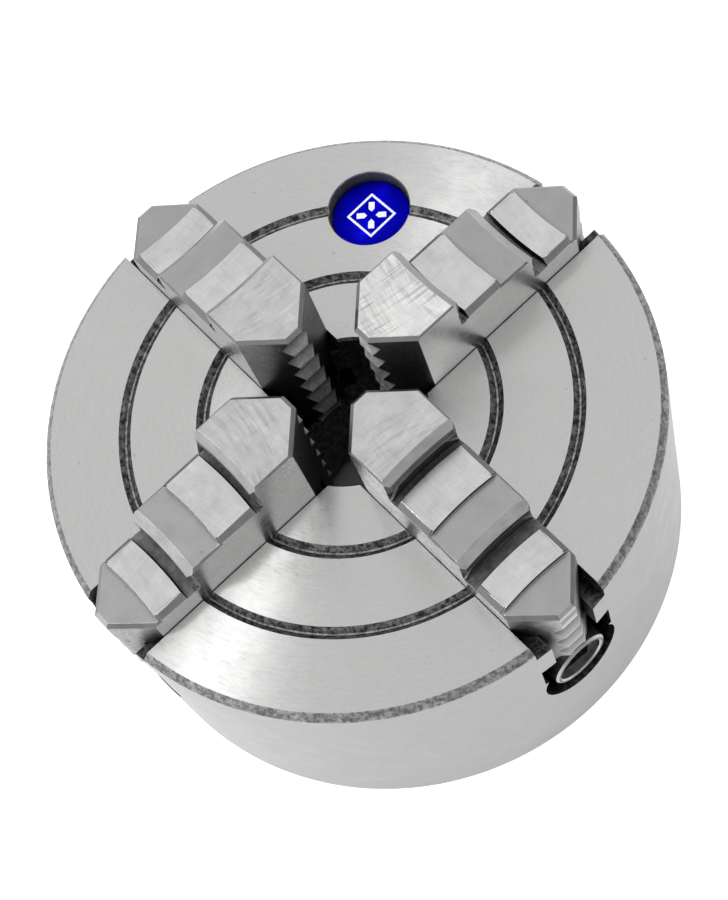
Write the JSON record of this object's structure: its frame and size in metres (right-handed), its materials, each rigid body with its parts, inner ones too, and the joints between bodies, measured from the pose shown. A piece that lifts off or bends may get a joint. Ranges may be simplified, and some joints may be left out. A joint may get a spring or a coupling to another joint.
{
  "type": "four-jaw independent lathe chuck",
  "caption": "Round four-jaw independent lathe chuck with stepped reversible jaws, each moved along its slot by its own radial key-driven screw.",
  "frame": {"origin": "centre of the rear mounting face, on the spindle axis", "axes": "+Z along the spindle axis out of the front face; jaws 1 to 4 lie along +X, +Y, -X and -Y"},
  "size_m": [0.1255, 0.1252, 0.0767],
  "materials": {
    "ground_iron": "turned and ground bright",
    "hardened_steel": "hardened, ground lands and matt reliefs",
    "blackened_steel": "oil-blackened",
    "blue_enamel": "glossy enamel"
  },
  "bodies": {
    "chuck_body": {"body": "ground_iron", "badge_disc": "blue_enamel", "thrust_yoke_1": "blackened_steel", "thrust_yoke_2": "blackened_steel", "thrust_yoke_3": "blackened_steel", "thrust_yoke_4": "blackened_steel", "yoke_set_screw_1a": "blackened_steel", "yoke_set_screw_1b": "blackened_steel", "yoke_set_screw_2a": "blackened_steel", "yoke_set_screw_2b": "blackened_steel", "yoke_set_screw_3a": "blackened_steel", "yoke_set_screw_3b": "blackened_steel", "yoke_set_screw_4a": "blackened_steel", "yoke_set_screw_4b": "blackened_steel"},
    "jaw_body_1": {"jaw_1": "hardened_steel"},
    "screw_body_1": {"jaw_screw_1": "hardened_steel"},
    "jaw_body_2": {"jaw_2": "hardened_steel"},
    "screw_body_2": {"jaw_screw_2": "hardened_steel"},
    "jaw_body_3": {"jaw_3": "hardened_steel"},
    "screw_body_3": {"jaw_screw_3": "hardened_steel"},
    "jaw_body_4": {"jaw_4": "hardened_steel"},
    "screw_body_4": {"jaw_screw_4": "hardened_steel"}
  },
  "joints": [
    {"name": "jaw_1_slide", "type": "slide", "parent": "chuck_body", "child": "jaw_body_1", "axis": [1, 0, 0], "range_m": [-0.0065, 0.012]},
    {"name": "screw_1_turn", "type": "hinge", "parent": "chuck_body", "child": "screw_body_1", "pos_m": [0.0413, 0, 0.031], "axis": [1, 0, 0], "range_deg": [-590, 1085]},
    {"name": "jaw_2_slide", "type": "slide", "parent": "chuck_body", "child": "jaw_body_2", "axis": [0, 1, 0], "range_m": [-0.0065, 0.012]},
    {"name": "screw_2_turn", "type": "hinge", "parent": "chuck_body", "child": "screw_body_2", "pos_m": [0, 0.0413, 0.031], "axis": [0, 1, 0], "range_deg": [-590, 1085]},
    {"name": "jaw_3_slide", "type": "slide", "parent": "chuck_body", "child": "jaw_body_3", "axis": [-1, 0, 0], "range_m": [-0.0065, 0.012]},
    {"name": "screw_3_turn", "type": "hinge", "parent": "chuck_body", "child": "screw_body_3", "pos_m": [-0.0413, 0, 0.031], "axis": [-1, 0, 0], "range_deg": [-590, 1085]},
    {"name": "jaw_4_slide", "type": "slide", "parent": "chuck_body", "child": "jaw_body_4", "axis": [0, -1, 0], "range_m": [-0.0065, 0.012]},
    {"name": "screw_4_turn", "type": "hinge", "parent": "chuck_body", "child": "screw_body_4", "pos_m": [0, -0.0413, 0.031], "axis": [0, -1, 0], "range_deg": [-590, 1085]}
  ],
  "couplings": [
    {"joint": "screw_1_turn", "follows": "jaw_1_slide", "rad_per_m": 1570.8},
    {"joint": "screw_2_turn", "follows": "jaw_2_slide", "rad_per_m": 1570.8},
    {"joint": "screw_3_turn", "follows": "jaw_3_slide", "rad_per_m": 1570.8},
    {"joint": "screw_4_turn", "follows": "jaw_4_slide", "rad_per_m": 1570.8}
  ]
}
